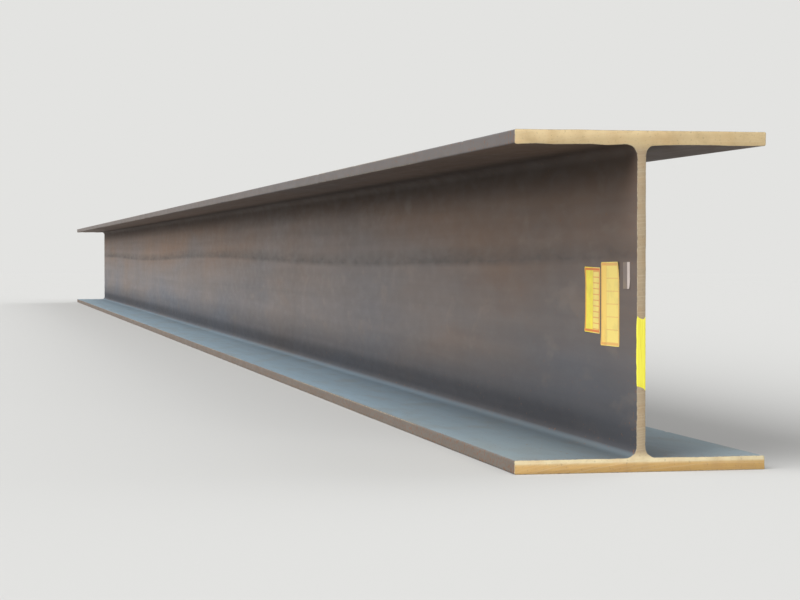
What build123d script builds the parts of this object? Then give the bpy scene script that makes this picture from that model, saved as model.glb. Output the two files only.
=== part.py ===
"""Hot-rolled steel H-beam, medium-flange section 390 x 300 x 10 x 16, cut to a 9 m stock length.

The frame is millimetres, +Z up. The beam lies along X and rests on the underside of its bottom flange.
The origin is at the middle of that underside. The labelled end is the +X end, and the labels are on
the web's -Y face.
"""

from build123d import *
import os

# Rolled section
section_depth = 390.0
flange_width = 300.0
web_thickness = 10.0
flange_thickness = 16.0
root_radius = 13.0
toe_radius = 2.0

# Stock length
beam_length = 9000.0

# Paper labels on the web. Each is placed by its middle: how far in from the +X end, and how high
# above the underside of the bottom flange. A tilt turns it in the plane of the web, in degrees.
paper_thickness = 0.2
label_corner_radius = 2.5

large_label_width = 70.0
large_label_height = 100.0
large_label_from_end = 101.0
large_label_middle_height = 190.0
large_label_tilt = 0.6

small_label_width = 60.0
small_label_height = 80.0
small_label_from_end = 171.0
small_label_middle_height = 193.5
small_label_tilt = -0.8

tag_width = 25.0
tag_height = 31.0
tag_from_end = 39.0
tag_middle_height = 224.5
tag_tilt = 1.0
tag_corner_radius = 1.0

# Worked out from the driving dimensions
clear_depth = section_depth - 2 * flange_thickness
flange_outstand = (flange_width - web_thickness) / 2
side_channel_middle = (flange_width + web_thickness) / 4
labelled_end = beam_length / 2
web_face = Plane.XZ.offset(web_thickness / 2)
section_plane = Plane.YZ.offset(-beam_length / 2)


def paper_label(name, width, height, corner_radius, from_end, middle_height, tilt):
    """A flat paper rectangle with rounded corners, lying face to face on the web."""
    with BuildPart() as label:
        with BuildSketch(web_face):
            with Locations(Location((labelled_end - from_end, middle_height, 0), (0, 0, tilt))):
                RectangleRounded(width, height, corner_radius)
        extrude(amount=paper_thickness)
    label.part.label = name
    return label.part


# The rolled beam: a rectangle with a channel taken out of each side leaves the web and two parallel
# flanges. The four roots where they meet are filleted, and the corners of the flange toes are eased.
with BuildPart() as h_beam:
    with BuildSketch(section_plane) as section:
        with Locations((0, section_depth / 2)):
            Rectangle(flange_width, section_depth)
            with Locations((-side_channel_middle, 0), (side_channel_middle, 0)):
                Rectangle(flange_outstand, clear_depth, mode=Mode.SUBTRACT)
        toes = section.vertices().group_by(Axis.X)[0] + section.vertices().group_by(Axis.X)[-1]
        fillet(toes, toe_radius)
        half_web = web_thickness / 2
        roots = section.vertices().filter_by_position(Axis.X, -half_web, half_web)
        fillet(roots, root_radius)
    extrude(amount=beam_length)
h_beam.part.label = "h_beam"

pieces = [
    h_beam.part,
    paper_label(
        "label_large",
        large_label_width,
        large_label_height,
        label_corner_radius,
        large_label_from_end,
        large_label_middle_height,
        large_label_tilt,
    ),
    paper_label(
        "label_small",
        small_label_width,
        small_label_height,
        label_corner_radius,
        small_label_from_end,
        small_label_middle_height,
        small_label_tilt,
    ),
    paper_label(
        "tag_white",
        tag_width,
        tag_height,
        tag_corner_radius,
        tag_from_end,
        tag_middle_height,
        tag_tilt,
    ),
]

os.makedirs("parts", exist_ok=True)
for piece in pieces:
    export_step(piece, f"parts/{piece.label}.step")
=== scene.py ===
"""A hot-rolled steel H-beam: mill-scale skin, hot-sawn ends, paper labels and a yellow paint mark.

Lengths are metres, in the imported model's own frame. The beam lies along X on its bottom flange. Its labelled
end is the +X end, and the labels are on the web's -Y face.
"""

import functools
import math

import bpy
import numpy as np
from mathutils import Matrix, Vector


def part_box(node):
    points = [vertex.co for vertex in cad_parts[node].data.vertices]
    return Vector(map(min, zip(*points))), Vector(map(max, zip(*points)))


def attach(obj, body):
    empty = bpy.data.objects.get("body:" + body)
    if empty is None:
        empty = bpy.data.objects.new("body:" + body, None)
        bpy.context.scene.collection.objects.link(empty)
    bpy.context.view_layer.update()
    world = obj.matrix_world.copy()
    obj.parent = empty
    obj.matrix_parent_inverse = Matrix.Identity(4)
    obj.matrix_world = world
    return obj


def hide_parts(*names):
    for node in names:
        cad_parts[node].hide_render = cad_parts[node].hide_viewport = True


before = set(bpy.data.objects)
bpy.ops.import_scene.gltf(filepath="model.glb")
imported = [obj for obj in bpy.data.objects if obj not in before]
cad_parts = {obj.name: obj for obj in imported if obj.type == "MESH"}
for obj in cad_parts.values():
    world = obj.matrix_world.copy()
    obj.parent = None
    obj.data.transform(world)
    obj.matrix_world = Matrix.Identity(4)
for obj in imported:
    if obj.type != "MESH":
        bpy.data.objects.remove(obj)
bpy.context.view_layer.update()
MM = 0.001

# The rolled section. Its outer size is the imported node's, and its walls and radii are the rolling table's.
BEAM_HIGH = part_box("h_beam")[1]
HALF_LENGTH = BEAM_HIGH.x
HALF_WIDTH = BEAM_HIGH.y
DEPTH = BEAM_HIGH.z
HALF_WEB = 5.0 * MM
FLANGE = 16.0 * MM
ROOT_R = 13.0 * MM
TOE_R = 2.0 * MM
INNER_Y = HALF_WEB + ROOT_R
TOP_INNER_Z = DEPTH - FLANGE

# How far the rolled faces stray from true. The web starts to bow beyond its labels.
WEB_STRAY = 0.5 * MM
TOE_STRAY = 0.35 * MM
BOW_STARTS = 250 * MM

# The saw's work at both ends: its cut edge is eased, and a burr stands out from it and dies away behind it.
EDGE_EASE = 0.5 * MM
BURR_STAND = 1.3 * MM
BURR_REACH = 1.8 * MM

# The line that the rolls leave along the web: its height, and the swing, length and start of its long sine.
ROLL_LINE = 240 * MM
ROLL_SWING = 7 * MM
ROLL_WAVE = 4.6
ROLL_PHASE = 1.09

# The height of the paint mark on the web's sawn end, from its lower end to its upper.
MARK_LOW, MARK_HIGH = 97 * MM, 176 * MM

# The labels: the sheet's size, and its middle's distance from the end and height. A lift is the corner that
# has come away, by its sides in x and z, how far it stands off, and how much of the sheet comes with it. The
# form has a column line, rows to the right of it, and a paper tint on each side of it.
LABELS = {
    "label_large": dict(
        sheet=(70 * MM, 100 * MM), corner=2.5 * MM, from_end=101 * MM, middle_z=190 * MM, tilt_deg=0.6,
        lifts=((1, 1, 1.8 * MM, 30 * MM), (-1, -1, 0.9 * MM, 20 * MM)), seed=51,
        column=-14 * MM, row=15.3 * MM, tints=("#FBD66E", "#F9E07C"), ink="#E08A4C", border=0.55, ruling=0.4,
        stock="coated_form_paper_large", slot="yellow_paper",
    ),
    "label_small": dict(
        sheet=(60 * MM, 80 * MM), corner=2.5 * MM, from_end=171 * MM, middle_z=193.5 * MM, tilt_deg=-0.8,
        lifts=((-1, 1, 1.4 * MM, 25 * MM), (-1, -1, 1.0 * MM, 20 * MM)), seed=61,
        column=2 * MM, row=7.0 * MM, tints=("#FBEA4E", "#F8E07C"), ink="#DC5E2A", border=0.85, ruling=0.6,
        stock="coated_form_paper_small", slot="yellow_paper",
    ),
    "tag_white": dict(
        sheet=(25 * MM, 31 * MM), corner=1.0 * MM, from_end=39 * MM, middle_z=224.5 * MM, tilt_deg=1.0,
        lifts=((1, -1, 0.9 * MM, 12 * MM),), seed=71,
        column=3 * MM, row=0.0, tints=("#786B65", "#CFC1B9"), ink="#8E7F78", border=0.0, ruling=0.0,
        stock="plain_white_paper", slot="white_paper",
    ),
}

# The beam's picture map, in pixels of a square image. Both sawn ends have strips of
# their own below the skin, and the labelled end's first half metre has more of the width than its share.
MAP_SIZE = 1024
MAP_REACH = ((0.0, 4), (0.5, 190), (8.7, 974), (9.0, 1020))
MAP_SKIN_ROWS = (88, 1019)
MAP_END_ROWS = (4, 46)

# Soft studio light. A level is the share of a surface's colour that a lamp gives it when it faces the lamp.
# A lamp is the direction towards it, its level, and how many degrees across it looks from the beam.
BACKDROP = "#E3E3E1"
WORLD_LEVEL = 0.32
LAMPS = {
    "side_softbox": ((0.22, -0.76, 0.61), 1.00, 60),
    "front_softbox": ((0.92, 0.18, 0.34), 0.40, 40),
    "back_softbox": ((-0.35, 0.75, 0.56), 0.30, 60),
}


def srgb(code):
    """An sRGB hex colour as linear red, green, blue and alpha."""
    parts = [int(code[i : i + 2], 16) / 255 for i in (1, 3, 5)]
    return (*[p / 12.92 if p <= 0.04045 else ((p + 0.055) / 1.055) ** 2.4 for p in parts], 1.0)


def wander(at, spacing, seed):
    """Random heights from -1 to 1 at knots that far apart, joined by the smooth step 3p^2 - 2p^3."""
    knots = np.random.default_rng(seed).uniform(-1, 1, 4096)
    place = np.asarray(at) / spacing + 2048
    low = np.floor(place).astype(int)
    part = place - low
    part = part * part * (3 - 2 * part)
    return knots[low % 4096] * (1 - part) + knots[(low + 1) % 4096] * part


def run(start, end, shares):
    """Points on the straight run from start to end, at those shares of its length."""
    start, end = np.array(start), np.array(end)
    return start + (end - start) * np.array(shares)[:, None]


def quarter(centre, radius, first_deg, turn_deg, count):
    """Points on a quarter circle, without its last one: centre plus radius times (cos a, sin a)."""
    angles = np.radians(first_deg + turn_deg * np.arange(count) / count)
    return np.array(centre) + radius * np.stack([np.cos(angles), np.sin(angles)], 1)


def evenly(count, margin=0.01):
    """Shares of a run: its start, a narrow row beside each end, and even steps between them."""
    return [0.0, *np.linspace(margin, 1 - margin, count + 1)]


def section_outline():
    """The closed section as (y, z), anticlockwise from the middle of the underside.

    The +Y half goes along the underside, round the toe, in along the flange, round the root, up the web and
    on to the middle of the top face. The -Y half is its mirror image on the way back.
    """
    toe_y = HALF_WIDTH - TOE_R
    half = np.concatenate(
        [
            run((0, 0), (toe_y, 0), evenly(6)),
            quarter((toe_y, TOE_R), TOE_R, -90, 90, 4),
            run((HALF_WIDTH, TOE_R), (HALF_WIDTH, FLANGE - TOE_R), evenly(3, 0.06)),
            quarter((toe_y, FLANGE - TOE_R), TOE_R, 0, 90, 4),
            run((toe_y, FLANGE), (INNER_Y, FLANGE), evenly(6)),
            quarter((INNER_Y, FLANGE + ROOT_R), ROOT_R, -90, -90, 8),
            run((HALF_WEB, FLANGE + ROOT_R), (HALF_WEB, TOP_INNER_Z - ROOT_R), evenly(18, 0.004)),
            quarter((INNER_Y, TOP_INNER_Z - ROOT_R), ROOT_R, 180, -90, 8),
            run((INNER_Y, TOP_INNER_Z), (toe_y, TOP_INNER_Z), evenly(6)),
            quarter((toe_y, TOP_INNER_Z + TOE_R), TOE_R, -90, 90, 4),
            run((HALF_WIDTH, TOP_INNER_Z + TOE_R), (HALF_WIDTH, DEPTH - TOE_R), evenly(3, 0.06)),
            quarter((toe_y, DEPTH - TOE_R), TOE_R, 0, 90, 4),
            run((toe_y, DEPTH), (0, DEPTH), evenly(6)),
        ]
    )
    return np.concatenate([half, [(0.0, DEPTH)], half[:0:-1] * (-1, 1)])


def outward(outline):
    """Unit normals of a closed anticlockwise outline: the chord past each point, turned by -90 degrees."""
    chord = np.roll(outline, -1, 0) - np.roll(outline, 1, 0)
    normal = np.stack([chord[:, 1], -chord[:, 0]], 1)
    return normal / np.linalg.norm(normal, axis=1, keepdims=True)


def knocks():
    """Handling dents in the toes: distance from the labelled end, half length, depth, and toe corner."""
    draw = np.random.default_rng(75)
    count, near = 22, 9
    away = np.concatenate([draw.uniform(0.05, 1.4, near), draw.uniform(1.4, 8.9, count - near)])
    side = draw.choice((-1, 1), count)
    level = draw.choice((0.0, FLANGE, TOP_INNER_Z, DEPTH), count)
    half_long, deep = draw.uniform(3, 12, count) * MM, draw.uniform(0.4, 1.3, count) * MM
    return np.stack([away, half_long, deep, side, level], 1)


def stations(dents):
    """Distances from the labelled end: close together at both cuts and at each dent, wider apart between."""
    length = 2 * HALF_LENGTH
    rim = np.array([0.0, 0.15, 0.35, 0.5, 0.9, 1.6, 3.0, 5.0]) * MM
    base = [rim, length - rim]
    for first, last, step in ((0.010, 0.6, 0.009), (0.6, 1.8, 0.028), (1.8, 8.6, 0.11), (8.6, 8.992, 0.014)):
        base.append(np.arange(first, last, step))
    at_dents = (dents[:, :1] + dents[:, 1:2] * np.array([-2, -1, -0.4, 0.4, 1, 2])).ravel()
    found = np.unique(np.concatenate([*base, at_dents]).round(5))
    return found[np.concatenate([[True], np.diff(found) > 0.1 * MM])]


def mesh_object(name, points, quads, quad_uv, ends=(), end_uv=()):
    """An object at the origin, from points, quads, and the outlines that close its ends.

    The quads are shaded smooth up to 50 degrees and have the first material. The ends have the second.
    """
    loops = np.concatenate([quads.ravel(), *ends]).astype(np.int32)
    counts = np.concatenate([np.full(len(quads), 4), [len(end) for end in ends]]).astype(np.int32)
    is_end = np.arange(len(counts)) >= len(quads)
    mesh = bpy.data.meshes.new(name)
    mesh.vertices.add(len(points))
    mesh.vertices.foreach_set("co", points.astype(np.float32).ravel())
    mesh.loops.add(len(loops))
    mesh.loops.foreach_set("vertex_index", loops)
    mesh.polygons.add(len(counts))
    mesh.polygons.foreach_set("loop_start", (np.cumsum(counts) - counts).astype(np.int32))
    mesh.polygons.foreach_set("use_smooth", ~is_end)
    mesh.polygons.foreach_set("material_index", is_end.astype(np.int32))
    layer = mesh.uv_layers.new(name="OFBake")
    layer.data.foreach_set("uv", np.concatenate([quad_uv.reshape(-1, 2), *end_uv]).astype(np.float32).ravel())
    mesh.update(calc_edges=True)
    mesh.validate()
    mesh.set_sharp_from_angle(angle=math.radians(50))
    made = bpy.data.objects.new(name, mesh)
    bpy.context.scene.collection.objects.link(made)
    return made


def ring_quads(rows, around):
    """Quads between neighbouring rows of a grid of closed rings, and each corner's row and place on its ring.

    The last place of a ring is counted on past its end, so that a picture map's seam isn't stretched back.
    """
    row, place = np.meshgrid(np.arange(rows - 1), np.arange(around), indexing="ij")
    rows_at = np.stack([row, row + 1, row + 1, row], -1).reshape(-1, 4)
    places_at = np.stack([place, place, place + 1, place + 1], -1).reshape(-1, 4)
    return rows_at * around + places_at % around, rows_at, places_at


def end_strips(outline, points, first, map_row):
    """Splits a sawn end into both flanges and the web, and gives each its own part of the picture map."""
    count = len(outline)
    low = int(np.argmin(np.hypot(*(outline - (INNER_Y, FLANGE)).T)))
    high = int(np.argmin(np.hypot(*(outline - (INNER_Y, TOP_INNER_Z)).T)))
    bottom = np.r_[count - low : count, 0 : low + 1]
    web = np.r_[low : high + 1, count - high : count - low + 1]
    top = np.r_[high : count - high + 1]
    outlines, maps = [], []
    for members, along, across, start, floor_at, column in (
        (bottom, 1, 2, -HALF_WIDTH, 0.0, 4),
        (web, 2, 1, FLANGE, -INNER_Y, 614),
        (top, 1, 2, -HALF_WIDTH, TOP_INNER_Z, 309),
    ):
        at = points[first + members]
        map_x = column + (at[:, along] - start) / MM
        map_y = map_row + (at[:, across] - floor_at) / MM
        outlines.append(first + members)
        maps.append(np.stack([map_x, map_y], 1) / MAP_SIZE)
    return outlines, maps


def rolled_beam():
    """The beam: the section's outline carried along X, with each face straying a little from true.

    A point is its outline point, plus strays in Y that are wanders along X: the web bows as one, and each
    toe strays on its own. A dent draws a toe corner in by its depth times exp(-(x / half length)^2). Within
    the ease of a cut the outline draws in on a quarter circle, and a burr stands out by its height times
    exp(-distance / reach).
    """
    outline = section_outline()
    normal = outward(outline)
    dents = knocks()
    apart = stations(dents)
    along = HALF_LENGTH - apart
    y, z = outline.T
    from_cut = np.minimum(apart, 2 * HALF_LENGTH - apart)[:, None]

    points = np.empty((len(along), len(outline), 3))
    points[..., 0] = along[:, None]
    points[..., 1:] = outline

    on_web = np.clip(1 - (np.abs(y) - HALF_WEB) / ROOT_R, 0, 1) * np.sin(np.pi * z / DEPTH)
    settle = np.clip((from_cut - BOW_STARTS) / 0.6, 0, 1)
    bow = (wander(along, 0.9, 3) + 0.5 * wander(along, 0.33, 4))[:, None]
    points[..., 1] += WEB_STRAY * bow * settle * on_web

    for side in (-1, 1):
        for level, seed in ((0.0, 11), (DEPTH, 17)):
            at_toe = np.clip((side * y - HALF_WIDTH) / (30 * MM) + 1, 0, 1) * (np.abs(z - level) < 2 * FLANGE)
            stray = wander(along, 0.5, seed + side) + 0.4 * wander(along, 0.07, seed + 40 + side)
            points[..., 1] += side * TOE_STRAY * stray[:, None] * at_toe

    drawn_in = np.zeros(points.shape[:2])
    for away, half_long, deep, side, level in dents:
        near_corner = np.exp(-((y - side * HALF_WIDTH) ** 2 + (z - level) ** 2) / (4 * MM) ** 2)
        drawn_in += deep * np.exp(-(((apart - away) / half_long) ** 2))[:, None] * near_corner

    # The burr hangs furthest under the flanges. There is none where it would lift the beam or the paint.
    round_edge = np.clip(EDGE_EASE - from_cut, 0, None)
    eased = EDGE_EASE - np.sqrt(EDGE_EASE**2 - round_edge**2)
    around = np.concatenate([[0], np.cumsum(np.linalg.norm(np.diff(outline, axis=0), axis=1))])
    ragged = np.clip(0.3 + 0.55 * wander(around, 0.011, 21) + 0.5 * wander(around, 0.004, 22), 0, None)
    hangs = 0.4 + 0.6 * np.clip(-normal[:, 1], 0, 1)
    rubbed_off = (z < 0.5 * MM) | ((np.abs(y) < INNER_Y) & (z > MARK_LOW) & (z < MARK_HIGH))
    burr = BURR_STAND * ragged * hangs * ~rubbed_off * np.exp(-from_cut / BURR_REACH)
    points[..., 1:] += (burr - eased - drawn_in)[..., None] * normal

    rows, across = points.shape[:2]
    flat = points.reshape(-1, 3)
    quads, rows_at, places_at = ring_quads(rows, across)
    girth = np.append(around, around[-1] + np.linalg.norm(outline[0] - outline[-1]))
    reach, columns = zip(*MAP_REACH)
    low_row, high_row = MAP_SKIN_ROWS
    map_x = np.interp(apart, reach, columns)[rows_at]
    map_y = (low_row + girth / girth[-1] * (high_row - low_row))[places_at]
    near_ends, near_maps = end_strips(outline, flat, 0, MAP_END_ROWS[0])
    far_ends, far_maps = end_strips(outline, flat, (rows - 1) * across, MAP_END_ROWS[1])
    ends = near_ends + [end[::-1] for end in far_ends]
    maps = near_maps + [one[::-1] for one in far_maps]
    made = mesh_object("rolled_beam", flat, quads, np.stack([map_x, map_y], -1) / MAP_SIZE, ends, maps)

    # How far the skin is rubbed to bare steel: on the toes' corners in stretches, and at both cuts.
    corner_z = np.min(np.abs(z[:, None] - (0.0, FLANGE, TOP_INNER_Z, DEPTH)), 1)
    on_corner = np.exp(-((HALF_WIDTH - np.abs(y)) ** 2 + corner_z**2) / (1.9 * MM) ** 2)
    stretch = np.clip(0.8 + 0.45 * wander(along, 0.23, 81) + 0.3 * wander(along, 0.03, 82), 0, 1)[:, None]
    rubbed = np.maximum(on_corner * stretch, np.exp(-((from_cut / (1.3 * MM)) ** 2)) * np.ones(across))
    share = made.data.attributes.new("rubbed", "FLOAT", "POINT")
    share.data.foreach_set("value", rubbed.astype(np.float32).ravel())
    return made


def thin_sheet(name, front, back):
    """A closed sheet from the grids of its two faces, whose rows go up.

    Each ring runs along a row of the front and returns along the same row of the back. Quads from front to
    back close the lowest ring and the highest. The front has nine tenths of the picture map's width.
    """
    rings = np.concatenate([front, back[:, ::-1]], 1)
    rows, around = rings.shape[:2]
    wide = front.shape[1]
    quads, rows_at, places_at = ring_quads(rows, around)
    on_front = places_at < wide
    map_x = 0.01 + np.where(on_front, places_at / (wide - 1) * 0.9, 0.93 + (places_at / wide - 1) * 0.05)
    map_y = 0.03 + rows_at / (rows - 1) * 0.94
    place = np.arange(wide - 1)
    rim = np.stack([place, place + 1, around - 2 - place, around - 1 - place], 1)
    rim_x = 0.01 + np.stack([place, place + 1, place + 1, place], 1) / (wide - 1) * 0.9
    high_y = np.broadcast_to((0.980, 0.980, 0.992, 0.992), rim.shape)
    uv = [
        np.stack([map_x, map_y], -1)[:, ::-1],
        np.stack([rim_x, 1 - high_y], -1)[:, ::-1],
        np.stack([rim_x, high_y], -1),
    ]
    faces = [quads[:, ::-1], rim[:, ::-1], (rows - 1) * around + rim]
    return mesh_object(name, rings.reshape(-1, 3), np.concatenate(faces), np.concatenate(uv))


def paper_sheet(node_name, form):
    """A label: a grid whose rows draw in at its corners on the corner's quarter circle, and a back behind it.

    The paper stands off the web by a slight wander, and by lift times (1 - distance / reach)^2 near each
    corner that has come away.
    """
    thick = 0.2 * MM
    corner, seed = form["corner"], form["seed"]
    half_wide, half_high = form["sheet"][0] / 2, form["sheet"][1] / 2
    turn = np.radians(np.linspace(90, 0, 6))
    arc_z, arc_in = half_high - corner + corner * np.sin(turn), corner - corner * np.cos(turn)
    between = np.linspace(-1, 1, 26)[1:-1] * (half_high - corner)
    local_z = np.concatenate([-arc_z, between, arc_z[::-1]])
    half_row = half_wide - np.concatenate([arc_in, np.zeros(len(between)), arc_in[::-1]])
    local_x = np.linspace(-1, 1, 22) * half_row[:, None]
    local_z = np.broadcast_to(local_z[:, None], local_x.shape)

    cockle = wander(local_x * 0.8 + local_z * 0.5, 0.013, seed) * wander(local_z, 0.021, seed + 1)
    lift = 0.12 * MM * (1 + cockle)
    for side_x, side_z, rise, reach in form["lifts"]:
        gap = np.hypot(local_x - side_x * half_wide, local_z - side_z * half_high)
        lift = lift + rise * np.clip(1 - gap / reach, 0, 1) ** 2

    tilt = math.radians(form["tilt_deg"])
    x = HALF_LENGTH - form["from_end"] + local_x * math.cos(tilt) - local_z * math.sin(tilt)
    z = form["middle_z"] + local_x * math.sin(tilt) + local_z * math.cos(tilt)
    back = np.stack([x, -HALF_WEB - lift, z], -1)
    return thin_sheet(f"{node_name}_paper", back - (0, thick, 0), back)


def brushed_mark():
    """The paint mark: a film that goes across the web's sawn end and a little way round onto both faces.

    Its rows run from the -Y side to the +Y side, and their heights are a sine of even steps, so that they
    crowd at the film's ends. The film's thickness is a wander across the brush and a slower one along it,
    and falls to 0.03 mm at its ragged rim, whose ends are wanders across the web. Its back is in the steel.
    """
    share, height = np.meshgrid(np.linspace(-1, 1, 34), np.sin(np.linspace(-math.pi / 2, math.pi / 2, 60)))
    middle, half_high = (MARK_LOW + MARK_HIGH) / 2, (MARK_HIGH - MARK_LOW) / 2
    rag = np.where(height > 0, wander(share, 0.5, 31), wander(share, 0.6, 32) + 1.1 * share)
    z = middle + height * half_high + 3.0 * MM * rag * np.abs(height) ** 3 * np.sign(height)

    # The length along the film's path, from the middle of the cut, and the path round the web's two edges.
    wrap = np.where(share < 0, 3.2 + 1.6 * wander(z, 0.006, 33), 2.0 + 1.2 * wander(z, 0.005, 34)) * MM
    path = share * (HALF_WEB + wrap * np.sqrt(np.clip(1 - height**2, 0, 1)))
    flat_half = HALF_WEB - EDGE_EASE
    bend = np.clip((np.abs(path) - flat_half) / EDGE_EASE, 0, math.pi / 2)
    beyond = np.clip(np.abs(path) - flat_half - EDGE_EASE * math.pi / 2, 0, None)
    y = np.sign(share) * (np.minimum(np.abs(path), flat_half) + EDGE_EASE * np.sin(bend))
    x = HALF_LENGTH - EDGE_EASE * (1 - np.cos(bend)) - beyond
    out = np.stack([np.cos(bend), np.sign(share) * np.sin(bend), np.zeros_like(bend)], -1)

    rim = np.clip((1 - np.abs(share)) * 6, 0, 1) * np.clip((1 - np.abs(height)) * 9, 0, 1)
    body = 0.20 + 0.04 * wander(path, 0.0022, 35) + 0.05 * wander(z + path, 0.011, 36)
    surface = np.stack([x, y, z], -1)
    face = surface + out * ((0.03 + body * np.sqrt(rim)) * MM)[..., None]
    return thin_sheet("paint_mark", face, surface - out * 0.1 * MM)


def per_metre(*apart_mm):
    """The scale of a pattern whose features are that many millimetres apart, along each axis given."""
    return tuple(1000 / gap for gap in apart_mm)


def plug(made, inputs):
    """Sets a node's sockets to values, or links them to the outputs that feed them."""
    for key, value in dict(inputs).items():
        if isinstance(value, bpy.types.NodeSocket):
            made.id_data.links.new(value, made.inputs[key])
        else:
            made.inputs[key].default_value = value


def node(tree, kind, inputs=(), out=0, stops=(), **settings):
    """Adds a node with those settings, inputs and colour stops. Returns that output, or for None the node."""
    made = tree.nodes.new(kind)
    for key, value in settings.items():
        setattr(made, key, value)
    plug(made, inputs)
    for number, (place, colour) in enumerate(stops):
        ramp = made.color_ramp.elements
        stop = ramp[number] if number < 2 else ramp.new(place)
        stop.position = place
        stop.color = srgb(colour)
    return made if out is None else made.outputs[out]


def finish(name):
    """A new material of that name, its shader, and the call that adds nodes to its tree."""
    mat = bpy.data.materials.new(name)
    mat.use_nodes = True
    return mat, mat.node_tree.nodes["Principled BSDF"], functools.partial(node, mat.node_tree)


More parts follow.
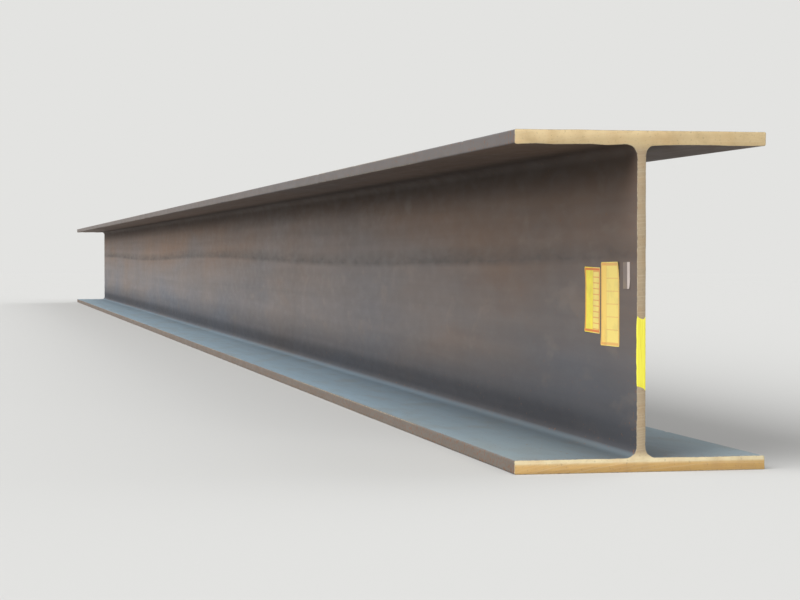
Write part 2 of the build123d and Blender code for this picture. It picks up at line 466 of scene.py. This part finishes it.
def mill_scale():
    """Mill scale: the magnetite skin that hot-rolled steel cools under, matt with fine pores.

    It gives greys that are cooler low on the web and warmer under the top flange, partly as a painted sky
    reflection low down and painted shade up under the flange, drawn out along the rolling, with faint bands
    across it, a dark line from the rolls, flaked spots, and thin rust at the toes. Painted shade also darkens
    the roots and the bottom flange, a painted sky reflection tints what faces up, and a painted sheen lightens
    it towards the plain end.
    """
    mat, shader, add = finish("mill_scale")
    place = add("ShaderNodeTexCoord", out="Object")
    up = add("ShaderNodeSeparateXYZ", {0: add("ShaderNodeTexCoord", out="Normal")}, out="Z")
    x, y, z = add("ShaderNodeSeparateXYZ", {0: place}, out=None).outputs
    side = add("ShaderNodeMath", {0: y}, operation="ABSOLUTE")

    # Each pattern's features are this many millimetres apart along X, Y and Z. Most are drawn out along the
    # rolling. The grain is far coarser than the real pores, so that it shows.
    seen = {}
    for name, apart in {
        "patches": (1100, 190, 190),
        "streaks": (1100, 22, 22),
        "bands": (190, 600, 600),
        "mottle": (55, 18, 18),
        "grain": (2.5, 2.5, 2.5),
        "spots": (110, 42, 42),
        "specks": (5, 5, 5),
        "smudges": (70, 200, 13),
        "breaks": (420, 9000, 9000),
    }.items():
        scaled = add("ShaderNodeMapping", {0: place, "Scale": per_metre(*apart)})
        seen[name] = add("ShaderNodeTexNoise", {0: scaled, "Scale": 1.0, "Detail": 3.0, "Distortion": 0.3})

    # The ground: cooler and warmer patches, where the cooling bed chilled the scale unevenly.
    # By height the tone is partly painted light: cooler low on the web for a painted sky reflection, and
    # browner under the top flange for painted shade.
    by_height = {"Value": z, "From Min": 0.05, "From Max": 0.36, "To Min": -0.34, "To Max": 0.36}
    warmth = add("ShaderNodeMapRange", by_height)
    warmth = add("ShaderNodeMath", {0: seen["patches"], 1: 1.1, 2: warmth}, operation="MULTIPLY_ADD")
    greys = (0.15, "#57585D"), (0.5, "#655E5B"), (0.85, "#6D5A4D")
    ground = add("ShaderNodeValToRGB", {0: warmth}, stops=greys)
    shade = 0.54
    for name, amount in (("streaks", 0.38), ("bands", 0.26), ("mottle", 0.26)):
        shade = add("ShaderNodeMath", {0: seen[name], 1: amount, 2: shade}, operation="MULTIPLY_ADD")
    # The scale is painted paler towards the plain end: a painted sheen, for the reflection off the web seen at
    # a grazing angle there.
    film = {"Value": x, "From Min": 4.0, "From Max": -1.0, "To Min": 1.0, "To Max": 1.65}
    film = add("ShaderNodeMath", {0: add("ShaderNodeMapRange", film), 1: shade}, operation="MULTIPLY")
    skin = add("ShaderNodeVectorMath", {0: ground, "Scale": film}, operation="SCALE")

    # Coats over the ground, each with how much of it shows. First spots where the scale has flaked.
    flaked = {"Value": seen["spots"], "From Min": 0.58, "From Max": 0.68, "To Max": 0.25}
    flaked = add("ShaderNodeMapRange", flaked)
    coats = [(flaked, "#82766C")]

    # The line that the rolls leave. It fades out over 26 mm above and over 9 mm below, and is darker in some
    # stretches and where smudges cross it.
    waver = add("ShaderNodeMath", {0: x, 1: math.tau / ROLL_WAVE, 2: ROLL_PHASE}, operation="MULTIPLY_ADD")
    waver = add("ShaderNodeMath", {0: waver}, operation="SINE")
    waver = add("ShaderNodeMath", {0: waver, 1: ROLL_SWING, 2: ROLL_LINE}, operation="MULTIPLY_ADD")
    off_line = add("ShaderNodeMath", {0: z, 1: waver}, operation="SUBTRACT")
    above = add("ShaderNodeMapRange", {"Value": off_line, "From Min": 26 * MM, "From Max": 0.0})
    below = add("ShaderNodeMapRange", {"Value": off_line, "From Min": -9 * MM, "From Max": 0.0})
    line = add("ShaderNodeMath", {0: above, 1: below}, operation="MINIMUM")
    smudge = add("ShaderNodeMapRange", {"Value": seen["smudges"], "From Min": 0.45, "From Max": 0.85})
    marked = add("ShaderNodeMath", {0: smudge, 1: 0.5, 2: seen["breaks"]}, operation="MULTIPLY_ADD")
    for share in (line, 0.85):
        marked = add("ShaderNodeMath", {0: marked, 1: share}, operation="MULTIPLY")
    coats.append((marked, "#3C3937"))

    # Pale blue-grey on what faces up: dust, and a painted reflection of a blue sky, strongest on the bottom
    # flange, with streaks wiped out of it and browner drifts. The painted reflection is greyer in the labelled
    # end's last metre. What faces up on the top flange gets a greyer, darker coat over it instead.
    lies = add("ShaderNodeMapRange", {"Value": up, "From Min": 0.50, "From Max": 0.95})
    wiped = add("ShaderNodeMath", {0: seen["streaks"], 1: seen["mottle"]}, operation="ADD")
    cover = {"Value": wiped, "From Min": 0.7, "From Max": 1.25, "To Min": 0.8, "To Max": 0.97}
    dust_and_sky_sheen = add("ShaderNodeMath", {0: lies, 1: add("ShaderNodeMapRange", cover)}, operation="MULTIPLY")
    coats.append((dust_and_sky_sheen, "#96ACBA"))
    near_end = add("ShaderNodeMapRange", {"Value": x, "From Min": 3.4, "From Max": 4.5, "To Max": 0.8})
    coats.append((add("ShaderNodeMath", {0: dust_and_sky_sheen, 1: near_end}, operation="MULTIPLY"), "#939FA2"))
    on_top = add("ShaderNodeMapRange", {"Value": z, "From Min": DEPTH - 6 * MM, "From Max": DEPTH - 4 * MM})
    top_face_grey = {"Value": wiped, "From Min": 0.7, "From Max": 1.25, "To Min": 1.0, "To Max": 0.75}
    top_face_grey = add("ShaderNodeMapRange", top_face_grey)
    for share in (on_top, lies):
        top_face_grey = add("ShaderNodeMath", {0: top_face_grey, 1: share}, operation="MULTIPLY")
    coats.append((top_face_grey, "#6B6D6E"))
    drifts = {"Value": seen["spots"], "From Min": 0.48, "From Max": 0.7, "To Max": 0.4}
    drifts = add("ShaderNodeMath", {0: add("ShaderNodeMapRange", drifts), 1: lies}, operation="MULTIPLY")
    coats.append((drifts, "#8E918C"))

    # Painted shade, where the flanges and web hide the light, heavier in some stretches. The flanges' outer
    # faces have none.
    low_shade_tint, high_shade_tint = "#24272D", "#312925"
    off_middle = add("ShaderNodeMath", {0: z, 1: DEPTH / 2}, operation="SUBTRACT")
    off_middle = add("ShaderNodeMath", {0: off_middle}, operation="ABSOLUTE")
    inner = {"Value": off_middle, "From Min": DEPTH / 2 - 3 * MM, "From Max": DEPTH / 2 - FLANGE + 3 * MM}
    heavy = add("ShaderNodeMath", {0: seen["patches"], 1: 0.5, 2: 0.72}, operation="MULTIPLY_ADD")
    heavy = add("ShaderNodeMath", {0: heavy, 1: add("ShaderNodeMapRange", inner)}, operation="MULTIPLY")
    # On the bottom flange the painted shade thins out evenly from root to toe, and there is less towards the
    # plain end.
    across = {"Value": side, "From Min": HALF_WIDTH, "From Max": HALF_WEB, "To Max": 0.65}
    along = {"Value": x, "From Min": 1.0, "From Max": 4.0, "To Min": 0.55}
    painted_flange_shade = heavy
    for share in (add("ShaderNodeMapRange", across), add("ShaderNodeMapRange", along), lies):
        painted_flange_shade = add("ShaderNodeMath", {0: painted_flange_shade, 1: share}, operation="MULTIPLY")
    coats.append((painted_flange_shade, low_shade_tint))
    # In the roots the painted shade is heavy, but less so where they face up and near the labelled end. It
    # thins out to nothing along the flange and up or down the web by the two lengths given. The lower roots
    # have a wide, thin coat and a narrow one.
    stands = add("ShaderNodeMapRange", {"Value": up, "From Min": 1.25, "From Max": 0.4})
    last_30_cm = {"Value": x, "From Min": 4.2, "From Max": 4.5, "To Min": 1.0, "To Max": 0.68}
    for share in (stands, add("ShaderNodeMapRange", last_30_cm)):
        heavy = add("ShaderNodeMath", {0: heavy, 1: share}, operation="MULTIPLY")
    corner = add("ShaderNodeCombineXYZ", {1: side, 2: z})
    painted_root_shades = []
    for height, along_flange, up_web, most, colour in (
        (FLANGE + 22 * MM, 60 * MM, 86 * MM, 0.46, low_shade_tint),
        (FLANGE + 22 * MM, 60 * MM, 28 * MM, 0.50, low_shade_tint),
        (TOP_INNER_Z, 62 * MM, 62 * MM, 0.68, high_shade_tint),
    ):
        away = add("ShaderNodeVectorMath", {0: corner, 1: (0, HALF_WEB, height)}, operation="SUBTRACT")
        away = add("ShaderNodeVectorMath", {0: away, 1: (1, along_flange, up_web)}, operation="DIVIDE")
        away = add("ShaderNodeVectorMath", {0: away}, out="Value", operation="LENGTH")
        inwards = {"Value": away, "From Min": 1.0, "From Max": 0.13, "To Max": most}
        painted_root_shade = add("ShaderNodeMapRange", inwards, interpolation_type="SMOOTHSTEP")
        painted_root_shade = add("ShaderNodeMath", {0: painted_root_shade, 1: heavy}, operation="MULTIPLY", use_clamp=True)
        painted_root_shades.append(painted_root_shade)
        coats.append((painted_root_shade, colour))

    # The toes: a thinner scale, browner on the bottom flange, and thin rust in specks, also near the cuts.
    toe_face = {"From Min": HALF_WIDTH - 2.4 * MM, "From Max": HALF_WIDTH - 0.4 * MM, "To Max": 0.75}
    at_toe = add("ShaderNodeMapRange", {"Value": side, **toe_face})
    low_down = add("ShaderNodeMapRange", {"Value": z, "From Min": 0.3, "From Max": 0.1})
    low_toe = add("ShaderNodeMath", {0: at_toe, 1: low_down}, operation="MULTIPLY")
    coats += [(at_toe, "#6B6A6B"), (low_toe, "#776D62")]
    from_middle = add("ShaderNodeMath", {0: x}, operation="ABSOLUTE")
    near_cut = {"From Min": HALF_LENGTH - 50 * MM, "From Max": HALF_LENGTH, "To Max": 0.07}
    rusts = add("ShaderNodeMapRange", {"Value": from_middle, **near_cut})
    for share, more in ((at_toe, 0.1), (low_toe, 0.07)):
        rusts = add("ShaderNodeMath", {0: share, 1: more, 2: rusts}, operation="MULTIPLY_ADD")
    rusts = add("ShaderNodeMath", {0: seen["specks"], 1: rusts}, operation="ADD")
    rusts = add("ShaderNodeMapRange", {"Value": rusts, "From Min": 0.66, "From Max": 0.74, "To Max": 0.7})
    coats.append((rusts, "#80583A"))

    # Bare steel on the corners that slings and bearers rub.
    rubbed = add("ShaderNodeAttribute", out="Fac", attribute_name="rubbed")
    worn = add("ShaderNodeMath", {0: rubbed, 1: seen["specks"]}, operation="MULTIPLY")
    worn = add("ShaderNodeMapRange", {"Value": worn, "From Min": 0.28, "From Max": 0.55})
    coats.append((worn, "#B4A991"))
    for share, colour in coats:
        skin = add("ShaderNodeMix", {0: share, 6: skin, 7: srgb(colour)}, out=2, data_type="RGBA")

    rough = {"Value": seen["mottle"], "From Min": 0.3, "From Max": 0.7, "To Min": 0.54, "To Max": 0.68}
    rough = add("ShaderNodeMapRange", rough)
    for share, change in ((dust_and_sky_sheen, 0.15), (worn, -0.15), *((painted_root_shade, 0.2) for painted_root_shade in painted_root_shades)):
        rough = add("ShaderNodeMath", {0: share, 1: change, 2: rough}, operation="MULTIPLY_ADD")
    metal = add("ShaderNodeMath", {0: worn, 1: 0.6}, operation="MULTIPLY")

    relief = 0.0
    for pattern, height_mm in (
        (seen["grain"], 0.05), (seen["mottle"], 0.12), (seen["streaks"], 0.04), (flaked, -0.1), (line, -0.1)
    ):
        relief = add("ShaderNodeMath", {0: pattern, 1: height_mm * MM, 2: relief}, operation="MULTIPLY_ADD")
    bump = add("ShaderNodeBump", {"Height": relief, "Distance": 1.0, "Strength": 1.0})
    plug(shader, {"Base Color": skin, "Roughness": rough, "Metallic": metal})
    plug(shader, {"Specular IOR Level": 0.22, "Normal": bump})
    return mat


def sawn_steel():
    """Hot-sawn steel: a cut face under a thin tan film of rust, scored in fine arcs by the round blade.

    It gives a bright, dull tan, greyer on the web and more orange on the bottom flange, whose top edge has a
    paler lip, a painted highlight where that edge catches the light.
    """
    mat, shader, add = finish("hot_sawn_steel")
    place = add("ShaderNodeTexCoord", out="Object")
    z = add("ShaderNodeSeparateXYZ", {0: place}, out="Z")

    # Each pattern's features are this many millimetres apart along X, Y and Z.
    seen = {}
    for name, apart in {
        "film": (16, 16, 16),
        "blotches": (45, 45, 45),
        "specks": (3, 3, 3),
        "waver": (60, 60, 60),
    }.items():
        scaled = add("ShaderNodeMapping", {0: place, "Scale": per_metre(*apart)})
        seen[name] = add("ShaderNodeTexNoise", {0: scaled, "Scale": 1.0, "Detail": 3.0, "Roughness": 0.55})

    # The blade's arcs are rings about its middle: fine scores 2 mm apart, and broader steps 11 mm apart.
    flat = add("ShaderNodeVectorMath", {0: place, 1: (0.0, 1.0, 1.0)}, operation="MULTIPLY")
    radius = add("ShaderNodeVectorMath", {0: flat, 1: (0.0, 0.12, -0.95)}, out="Value", operation="DISTANCE")
    radius = add("ShaderNodeMath", {0: seen["waver"], 1: 4 * MM, 2: radius}, operation="MULTIPLY_ADD")
    scores, steps = [
        add("ShaderNodeTexNoise", {"W": radius, "Scale": 1000 / gap, "Detail": 1.0}, noise_dimensions="1D")
        for gap in (2, 11)
    ]

    # The film by height: the bottom flange, its lip from 12 mm up painted paler as a highlight, the web, and
    # the top flange.
    level = add("ShaderNodeMath", {0: z, 1: DEPTH}, operation="DIVIDE")
    orange, pale, grey, cream = "#C8A263", "#DACAA2", "#A8967A", "#D6BE90"
    by_height = ((0, orange), (10, orange), (12, pale), (17, pale), (24, grey), (366, grey), (375, cream))
    skin = add("ShaderNodeValToRGB", {0: level}, stops=[(up * MM / DEPTH, tint) for up, tint in by_height])
    for pattern, low, high, most, colour in (
        (seen["film"], 0.44, 0.72, 0.3, "#AA8B64"),
        (seen["blotches"], 0.5, 0.7, 0.3, "#C0935A"),
        (scores, 0.5, 0.85, 0.2, "#DDD2B6"),
        (seen["specks"], 0.60, 0.72, 0.4, "#7F6B52"),
    ):
        share = {"Value": pattern, "From Min": low, "From Max": high, "To Max": most}
        share = add("ShaderNodeMapRange", share)
        skin = add("ShaderNodeMix", {0: share, 6: skin, 7: srgb(colour)}, out=2, data_type="RGBA")

    rough = {"Value": seen["film"], "From Min": 0.3, "From Max": 0.7, "To Min": 0.5, "To Max": 0.65}
    rough = add("ShaderNodeMapRange", rough)
    relief = 0.0
    for pattern, height_mm in ((scores, 0.08), (steps, 0.15), (seen["specks"], 0.05), (seen["film"], 0.15)):
        relief = add("ShaderNodeMath", {0: pattern, 1: height_mm * MM, 2: relief}, operation="MULTIPLY_ADD")
    bump = add("ShaderNodeBump", {"Height": relief, "Distance": 1.0, "Strength": 1.0})
    plug(shader, {"Base Color": skin, "Roughness": rough, "Metallic": 0.15, "Normal": bump})
    return mat


def marking_paint():
    """Solvent marking paint, brushed on: a strong yellow of low gloss, thinner between the brush's hairs."""
    mat, shader, add = finish("brushed_marking_paint")
    place = add("ShaderNodeTexCoord", out="Object")
    drawn = add("ShaderNodeMapping", {0: place, "Scale": per_metre(1.2, 1.2, 30)})
    hairs = add("ShaderNodeTexNoise", {0: drawn, "Scale": 1.0, "Detail": 3.0})
    yellows = (0.25, "#E8D838"), (0.45, "#F8EF42"), (0.8, "#FBF458")
    skin = add("ShaderNodeValToRGB", {0: hairs}, stops=yellows)
    relief = add("ShaderNodeMath", {0: hairs, 1: 0.06 * MM}, operation="MULTIPLY")
    bump = add("ShaderNodeBump", {"Height": relief, "Distance": 1.0, "Strength": 1.0})
    plug(shader, {"Base Color": skin, "Roughness": 0.42, "Normal": bump})
    return mat


def form_paper(form):
    """Label paper, printed in one ink with an empty form, and tinted differently on each side of its column.

    It gives flat, slightly uneven paper with soft smudges and no lettering.
    """
    mat, shader, add = finish(form["stock"])
    place = add("ShaderNodeTexCoord", out="Object")
    on_sheet = {
        0: place,
        "Location": (HALF_LENGTH - form["from_end"], 0.0, form["middle_z"]),
        "Rotation": (0.0, -math.radians(form["tilt_deg"]), 0.0),
    }
    local = add("ShaderNodeMapping", on_sheet, vector_type="TEXTURE")
    x, _, z = add("ShaderNodeSeparateXYZ", {0: local}, out=None).outputs
    from_column = add("ShaderNodeMath", {0: x, 1: form["column"]}, operation="SUBTRACT")
    right = add("ShaderNodeMapRange", {"Value": from_column, "From Min": -0.4 * MM, "From Max": 0.4 * MM})
    left_tint, right_tint = map(srgb, form["tints"])
    skin = add("ShaderNodeMix", {0: right, 6: left_tint, 7: right_tint}, out=2, data_type="RGBA")

    # The border is 3 mm wide and 1 mm in from the edge. Rows and column are inside it, 1 mm wide.
    wide, high = form["sheet"]
    past = []
    for along, size in ((x, wide), (z, high)):
        reach = add("ShaderNodeMath", {0: along}, operation="ABSOLUTE")
        past.append(add("ShaderNodeMath", {0: reach, 1: size / 2 - 4 * MM}, operation="SUBTRACT"))
    past = add("ShaderNodeMath", {0: past[0], 1: past[1]}, operation="MAXIMUM")
    inside = add("ShaderNodeMapRange", {"Value": past, "From Min": 0.2 * MM, "From Max": -0.2 * MM})
    in_border = add("ShaderNodeMath", {0: past, 1: 1.5 * MM}, operation="SUBTRACT")
    in_border = add("ShaderNodeMath", {0: in_border}, operation="ABSOLUTE")
    edge = {"Value": in_border, "From Min": 1.7 * MM, "From Max": 1.3 * MM, "To Max": form["border"]}
    from_row = add("ShaderNodeMath", {0: z, 1: form["row"] / 2}, operation="PINGPONG")
    from_column = add("ShaderNodeMath", {0: from_column}, operation="ABSOLUTE")
    printed = add("ShaderNodeMapRange", edge)
    for gap, where in ((from_row, right), (from_column, inside)):
        ruled = {"Value": gap, "From Min": 0.6 * MM, "From Max": 0.4 * MM, "To Max": form["ruling"]}
        ruled = add("ShaderNodeMath", {0: add("ShaderNodeMapRange", ruled), 1: where}, operation="MULTIPLY")
        ruled = add("ShaderNodeMath", {0: ruled, 1: inside}, operation="MULTIPLY")
        printed = add("ShaderNodeMath", {0: printed, 1: ruled}, operation="MAXIMUM")
    skin = add("ShaderNodeMix", {0: printed, 6: skin, 7: srgb(form["ink"])}, out=2, data_type="RGBA")

    # Smudges 22 mm apart, and the paper's fibres, drawn at 1.5 mm, which is coarser than real ones.
    soil = add("ShaderNodeTexNoise", {0: place, "Scale": per_metre(22)[0], "Detail": 3.0})
    soil = add("ShaderNodeMapRange", {"Value": soil, "From Min": 0.5, "From Max": 0.8, "To Max": 0.3})
    skin = add("ShaderNodeMix", {0: soil, 6: skin, 7: srgb("#A08A5A")}, out=2, data_type="RGBA")
    fibre = add("ShaderNodeTexNoise", {0: place, "Scale": per_metre(1.5)[0], "Detail": 3.0})
    shade = add("ShaderNodeMath", {0: fibre, 1: 0.06, 2: 0.97}, operation="MULTIPLY_ADD")
    skin = add("ShaderNodeVectorMath", {0: skin, "Scale": shade}, operation="SCALE")
    relief = add("ShaderNodeMath", {0: fibre, 1: 0.02 * MM}, operation="MULTIPLY")
    bump = add("ShaderNodeBump", {"Height": relief, "Distance": 1.0, "Strength": 1.0})
    plug(shader, {"Base Color": skin, "Roughness": 0.55, "Normal": bump})
    return mat


def background_rays(tree):
    """1 for the rays that show the background: the camera's, and those off gloss or through glass."""
    path = node(tree, "ShaderNodeLightPath", out=None)
    shown = 0.0
    for ray in ("Is Camera Ray", "Is Glossy Ray", "Is Transmission Ray"):
        shown = node(tree, "ShaderNodeMath", {0: path.outputs[ray], 1: shown}, operation="MAXIMUM")
    return shown


def pale_floor():
    """A matt painted floor. It bounces less light than it shows, and runs into the backdrop by 24 m off."""
    mat, shader, add = finish("matt_painted_floor")
    tree = mat.node_tree
    shown = background_rays(tree)
    floor_light = WORLD_LEVEL
    for towards, level, _ in LAMPS.values():
        floor_light += level * Vector(towards).normalized().z
    pale = tuple(part / floor_light for part in srgb(BACKDROP)[:3]) + (1.0,)
    seen = add("ShaderNodeMix", {0: shown, 6: srgb("#8C8A87"), 7: pale}, out=2, data_type="RGBA")
    plug(shader, {"Base Color": seen, "Roughness": 1.0, "Specular IOR Level": 0.0})
    place = add("ShaderNodeTexCoord", out="Object")
    away = add("ShaderNodeVectorMath", {0: place}, out="Value", operation="LENGTH")
    far = {"Value": away, "From Min": 9.0, "From Max": 24.0}
    far = add("ShaderNodeMapRange", far, interpolation_type="SMOOTHSTEP")
    fade = add("ShaderNodeMath", {0: far, 1: shown}, operation="MULTIPLY")
    glow = add("ShaderNodeEmission", {"Color": srgb(BACKDROP), "Strength": 1.0})
    both = add("ShaderNodeMixShader", {0: fade, 1: shader.outputs["BSDF"], 2: glow})
    plug(tree.nodes["Material Output"], {"Surface": both})
    return mat


def studio_world():
    """The world: an even grey light, with the backdrop's colour for the rays that show it."""
    world = bpy.data.worlds.new("studio")
    bpy.context.scene.world = world
    world.use_nodes = True
    tree = world.node_tree
    light = (WORLD_LEVEL, WORLD_LEVEL, WORLD_LEVEL, 1.0)
    colours = {0: background_rays(tree), 6: light, 7: srgb(BACKDROP)}
    colour = node(tree, "ShaderNodeMix", colours, out=2, data_type="RGBA")
    plug(tree.nodes["Background"], {"Color": colour})


def soft_lamp(name, towards, level, across_deg):
    """A far-off soft lamp in the direction towards, seen from the beam as a disc that many degrees across."""
    data = bpy.data.lights.new(name, "SUN")
    data.energy = level * math.pi
    data.angle = math.radians(across_deg)
    lamp = bpy.data.objects.new(name, data)
    lamp.location = Vector(towards).normalized() * 10
    lamp.rotation_mode = "QUATERNION"
    lamp.rotation_quaternion = Vector(towards).to_track_quat("Z", "Y")
    bpy.context.scene.collection.objects.link(lamp)


# The camera stands where the photograph was taken from, with a longer lens turned onto this one beam.
lens = bpy.data.cameras.new("camera")
lens.lens = 93.7
lens.sensor_width = 36.0
lens.clip_end = 400.0
right, down = math.radians(11.91), math.radians(1.21)
aim = Vector((-math.cos(right) * math.cos(down), math.sin(right) * math.cos(down), -math.sin(down)))
camera = bpy.data.objects.new("camera", lens)
camera.location = (HALF_LENGTH + 2.268, -0.760, 0.247)
camera.rotation_mode = "QUATERNION"
camera.rotation_quaternion = aim.to_track_quat("-Z", "Y")
bpy.context.scene.collection.objects.link(camera)
bpy.context.scene.camera = camera
bpy.context.scene.view_settings.view_transform = "Standard"

beam = rolled_beam()
beam.data.materials.append(mill_scale())
beam.data.materials.append(sawn_steel())
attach(beam, "root")
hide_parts("h_beam")

mark = brushed_mark()
mark.data.materials.append(marking_paint())
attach(mark, "root")

for node_name, form in LABELS.items():
    label = paper_sheet(node_name, form)
    label.data.materials.append(form_paper(form))
    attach(label, "root")
    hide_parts(node_name)

# The floor is a disc that reaches past every view of the beam.
FLOOR_RADIUS, FLOOR_SIDES = 120.0, 96
ring = np.linspace(0, math.tau, FLOOR_SIDES + 1)[:-1]
floor_mesh = bpy.data.meshes.new("floor")
floor_points = FLOOR_RADIUS * np.stack([np.cos(ring), np.sin(ring), np.zeros(FLOOR_SIDES)], 1)
floor_mesh.from_pydata(floor_points.tolist(), [], [list(range(FLOOR_SIDES))])
floor = bpy.data.objects.new("floor", floor_mesh)
floor.data.materials.append(pale_floor())
bpy.context.scene.collection.objects.link(floor)

studio_world()
for lamp_name, (towards, level, across_deg) in LAMPS.items():
    soft_lamp(lamp_name, towards, level, across_deg)
